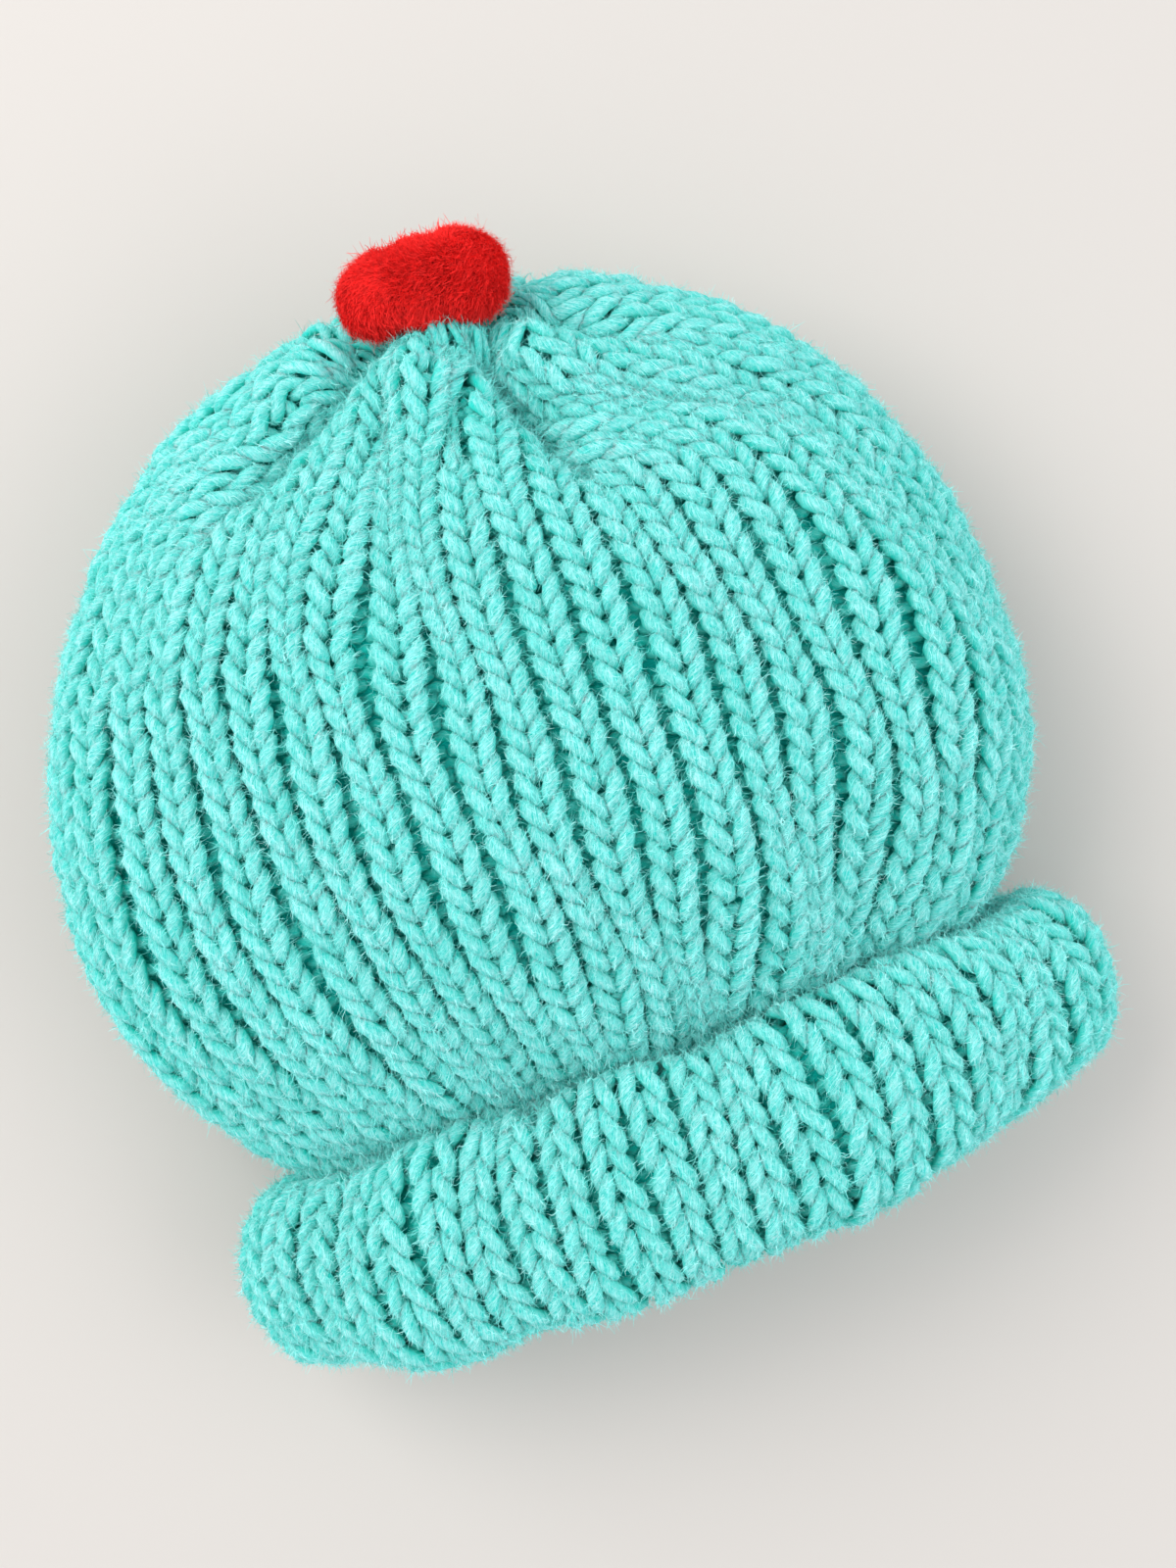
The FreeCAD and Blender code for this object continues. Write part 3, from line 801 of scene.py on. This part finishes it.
def pompom_surface(direction, shrink):
    """Distance from the pompom's centre to its surface along directions."""
    local = direction @ PILE_FRAME.T
    reach = np.zeros(len(direction))
    for middle, lobe_radius in LOBES:
        middle = np.array(middle)
        ahead = local @ middle
        inside = (lobe_radius - shrink) ** 2 - middle @ middle + ahead**2
        reach += (ahead + np.sqrt(np.maximum(inside, 0))) ** LOBE_BLEND
    # Both bunches run into each other, with a slight waist left between them.
    reach = reach ** (1 / LOBE_BLEND)
    lumps = np.zeros(len(direction))
    r = np.random.default_rng(21)
    for _ in range(9):
        axis = r.normal(0, 1, 3)
        lumps += np.sin(direction @ axis * r.uniform(2, 4.5) + r.uniform(0, 6))
    return reach + LUMPINESS * lumps


def sphere_points(count):
    """Points spread evenly over a sphere."""
    i = np.arange(count) + 0.5
    z = 1 - 2 * i / count
    a = i * math.pi * (1 + math.sqrt(5))
    flat = np.sqrt(1 - z * z)
    return np.stack([flat * np.cos(a), flat * np.sin(a), z], -1)


def ball_mesh(rows, columns):
    """Points and quads of a ball of radius 1, left open at two pinholes."""
    a = np.linspace(0.02, math.pi - 0.02, rows)[:, None]
    b = np.linspace(0, 2 * math.pi, columns, endpoint=False)[None, :]
    ball = np.stack([np.cos(a) + 0 * b, np.sin(a) * np.cos(b), np.sin(a) * np.sin(b)], -1)
    index = np.arange(rows * columns).reshape(rows, columns)
    beside = np.roll(index, -1, 1)
    quads = np.stack([index[:-1], index[1:], beside[1:], beside[:-1]], -1).reshape(-1, 4)
    return ball.reshape(-1, 3), quads


# Layers of pile: how many fibres, their length and their stray.
POMPOM_FIBRES = ((32000, 2.5, 0.3), (32000, 2.2, 0.5), (32000, 2.0, 0.7), (7000, 4.2, 0.7))
ball, ball_quads = ball_mesh(64, 96)
core = pompom_centre + ball * pompom_surface(ball, PILE)[:, None]
core_mesh = make_mesh("pompom_core", core, ball_quads)
# Halfway down, the core takes part of the red pile's painted shade under the fibres.
set_height(core_mesh, np.full(len(core), PLAIN_HEIGHT))
pompom = piece(core_mesh, red_pile, "pompom", "red_pile", "pompom_pile", "pompom_binding")
for i, (count, length, stray) in enumerate(POMPOM_FIBRES):
    ways = sphere_points(count)
    ways = unit(ways + np.random.default_rng(31 + i).normal(0, 0.02, ways.shape))
    roots = pompom_centre + ways * (pompom_surface(ways, PILE) - 0.2)[:, None]
    bunch_middle = np.clip(ways[:, :1] * 1.5, -1, 1) * [[4.0, 0, 0]]
    out = unit(roots - pompom_centre - bunch_middle)
    fibres(
        f"pompom_pile_{i}", roots, unit(np.cross(out, ways[:, [1, 2, 0]])), out,
        (length, 0.15), 0.8, stray, 41 + i, np.full(count, TOP_HEIGHT), red_pile,
        "pompom", "red_pile",
    )

# ---------------------------------------------------------------- small pieces
ANY_WAY = (0.31, 0.52, 0.79)  # a direction that none of the cords follows


def cord_piece(name, paths, thickness, material, body, slot, *nodes):
    """Yarns of one thickness along paths shaped (yarns, points, 3)."""
    reference = np.broadcast_to(ANY_WAY, paths.shape)
    reach = np.full(paths.shape[:2], thickness)
    lengths = np.cumsum(np.linalg.norm(np.diff(paths, axis=1, prepend=paths[:, :1]), axis=-1), 1)
    tubes = skin_tubes(paths, reference, reach, 12, 1.0)
    return piece(tube_mesh(name, tubes, lengths), material, body, slot, *nodes)


def twisted(path, apart, lay):
    """Two strands twisted round each other along a path of points."""
    along = unit(np.gradient(path, axis=0))
    side = unit(np.cross(along, ANY_WAY))
    up = np.cross(side, along)
    travelled = np.cumsum(np.linalg.norm(np.diff(path, axis=0, prepend=path[:1]), axis=1))
    made = []
    for phase in (0, 0.5):
        a = (2 * math.pi * (travelled / lay + phase))[:, None]
        made.append(path + apart * (np.cos(a) * side + np.sin(a) * up))
    return np.array(made)


def tied(middle, size):
    """A knot's centre line, a trefoil of that size."""
    own_size = 3.6  # what the curve below measures, from its middle out
    a = np.linspace(0, 2 * math.pi, 97)
    loop = [np.sin(a) + 2 * np.sin(2 * a), np.cos(a) - 2 * np.cos(2 * a), -1.6 * np.sin(3 * a)]
    return middle + size / own_size * np.stack(loop, -1)


def on_fabric(u, v, offset):
    """Points at ribs u and courses v, that far out from the middle of the fabric."""
    u, v = np.broadcast_arrays(np.asarray(u, float), np.asarray(v, float))
    return look_up(guide, u, v) + offset * unit(look_up(normals, u, v))


edge_u = np.linspace(0, RIBS, RIBS * 12 + 1)
edge_path = on_fabric(edge_u, COURSES - 0.1, 0.4 * np.sin(2 * math.pi * edge_u)[:, None])
cord_piece(
    "cast_on_cord", twisted(edge_path, 0.85, 9.0), 0.95, aqua, "hat", "aqua_yarn", "cast_on_edge"
)
gather_path = on_fabric(np.linspace(0, RIBS, 145), 0.9, 0.0)
cord_piece(
    "gather_cord", twisted(gather_path, 0.4, 6.0), 0.6, aqua, "hat", "aqua_yarn", "gather_yarn"
)
# Each stitch of the seam bows inwards between two ribs, on the inside of the hat.
SEAM_HALF = 0.42  # of a seam stitch's width, in ribs
seam_across = np.linspace(-SEAM_HALF, SEAM_HALF, 9)
seam_rise = -2.9 + 0.9 * (seam_across / SEAM_HALF) ** 2
seam_paths = np.array(
    [on_fabric(seam_across, v, seam_rise[:, None]) for v in np.arange(8.5, CROWN_COURSES - 3)]
)
cord_piece("seam_yarn", seam_paths, 0.9, aqua, "hat", "aqua_yarn", "seam_stitches")
for node, mat, body, slot, share in (
    ("gather_knot", aqua, "hat", "aqua_yarn", 0.25),
    ("tie_knot", red_yarn, "tie_end", "red_yarn", 0.24),
):
    node_low, node_high = node_box(node)
    size = (node_high - node_low).min() / 2
    path = tied((node_low + node_high) / 2, size * (1 - share))
    cord_piece(f"{node}_yarn", path[None], size * share, mat, body, slot, node)
# The thread goes up through the gather into the pompom, and down again beside itself.
low_end, high_end, reach = -6.8, LIFT - 6.2, 1.5
bend = np.linspace(math.pi, 0, 13)
legs = np.linspace(low_end, high_end, 30)
tie_path = np.concatenate(
    [
        np.stack([np.full(30, -reach), legs], -1),
        np.stack([reach * np.cos(bend), high_end + reach * np.sin(bend)], -1)[1:-1],
        np.stack([np.full(30, reach), legs[::-1]], -1),
    ]
)
tie_path = GATHER + tie_path[:, :1] * [[1, 0, 0]] + tie_path[:, 1:] * TIE_AXIS
cord_piece(
    "tie_cord", twisted(tie_path, 0.21, 1.6), 0.24, red_yarn, "tie", "red_yarn", "tie_thread"
)

# ---------------------------------------------------------------- floor, light, camera
floor_mat, _, floor_bsdf = new_material("pale_floor")
set_inputs(floor_bsdf, {"Base Color": (0.565, 0.53, 0.50, 1), "Roughness": 0.9})
FLOOR_HALF = 1500.0
floor_corners = FLOOR_HALF * np.array([(-1, -1, 0), (1, -1, 0), (1, 1, 0), (-1, 1, 0)])
floor_mesh = make_mesh("floor", floor_corners, np.array([[0, 1, 2, 3]]))
floor = bpy.data.objects.new("floor", floor_mesh)
floor_mesh.materials.append(floor_mat)
bpy.context.scene.collection.objects.link(floor)


def area_light(name, place, aim, size, watts, colour):
    data = bpy.data.lights.new(name, "AREA")
    data.size, data.energy, data.color = size, watts, colour
    lamp = bpy.data.objects.new(name, data)
    lamp.location = place
    lamp.rotation_euler = (Vector(aim) - Vector(place)).to_track_quat("-Z", "Y").to_euler()
    bpy.context.scene.collection.objects.link(lamp)


LIT_POINT = (0, 0, 0.02)
area_light("key", (-0.45, 0.45, 0.75), LIT_POINT, 0.7, 6.2, (1, 0.98, 0.95))
area_light("fill", (0.7, -0.3, 0.6), LIT_POINT, 0.9, 3.2, (0.96, 0.98, 1))
world = bpy.data.worlds.new("soft_light")
world.use_nodes = True
background = world.node_tree.nodes["Background"]
set_inputs(background, {"Color": (0.95, 0.97, 1.0, 1), "Strength": 0.98})
bpy.context.scene.world = world

bpy.context.scene.view_settings.view_transform = "Standard"

# The photo looks straight down on the hat, turned by this much.
CAMERA_TURN = math.radians(18)
CAMERA_PLACE = (0.0068, -0.0059, 0.431)
camera_data = bpy.data.cameras.new("camera")
camera_data.sensor_width, camera_data.lens = 36.0, 50.0
camera = bpy.data.objects.new("camera", camera_data)
camera.location = CAMERA_PLACE
camera.rotation_euler = (0, 0, -CAMERA_TURN)
bpy.context.scene.collection.objects.link(camera)
bpy.context.scene.camera = camera
